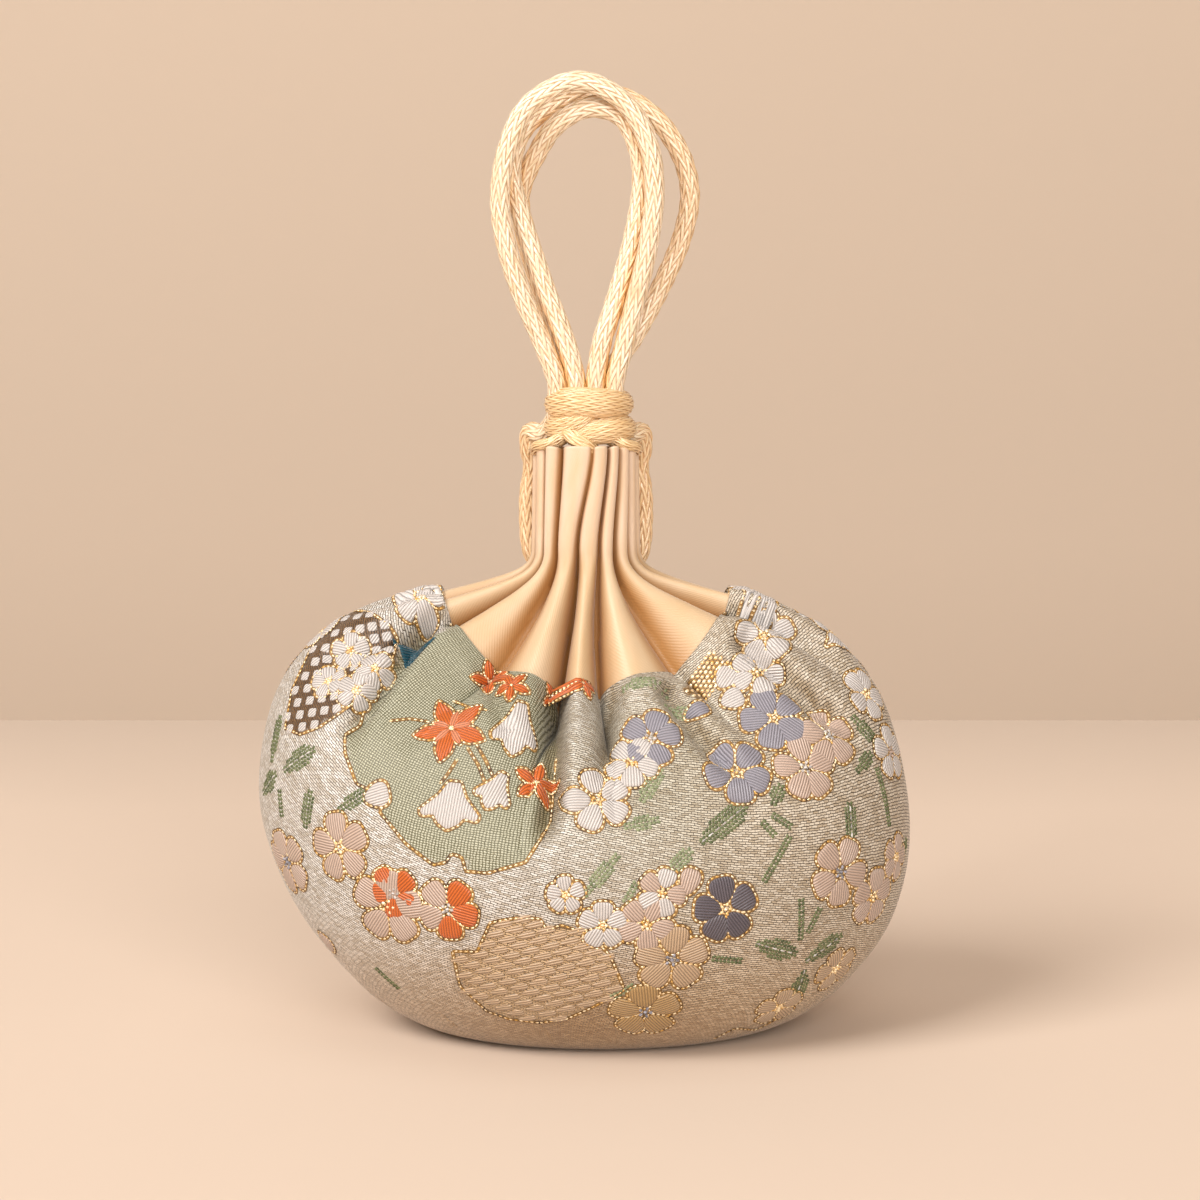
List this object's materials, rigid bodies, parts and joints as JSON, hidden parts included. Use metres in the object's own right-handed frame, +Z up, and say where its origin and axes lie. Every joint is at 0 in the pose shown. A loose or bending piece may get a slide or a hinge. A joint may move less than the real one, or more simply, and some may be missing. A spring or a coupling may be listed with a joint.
{
  "type": "scented sachet",
  "caption": "Stuffed brocade scent pouch with a gathered satin collar, a wrapped cord knot and upright hanging loops of braided cord.",
  "frame": {"origin": "middle of the flat base the pouch stands on, below the middle of the body", "axes": "+Z up through the neck and the loops, +X to the right across the wide side, -Y out of the front"},
  "size_m": [0.07, 0.044, 0.1021],
  "materials": {
    "brocade": "woven",
    "satin": "satin",
    "cord": "satin"
  },
  "bodies": {
    "root": {"brocade_body": "brocade", "satin_collar": "satin", "knot": "cord", "front_loop": "cord", "inner_loop": "cord", "back_loop": "cord", "left_draw_cord": "cord", "right_draw_cord": "cord"}
  },
  "joints": []
}
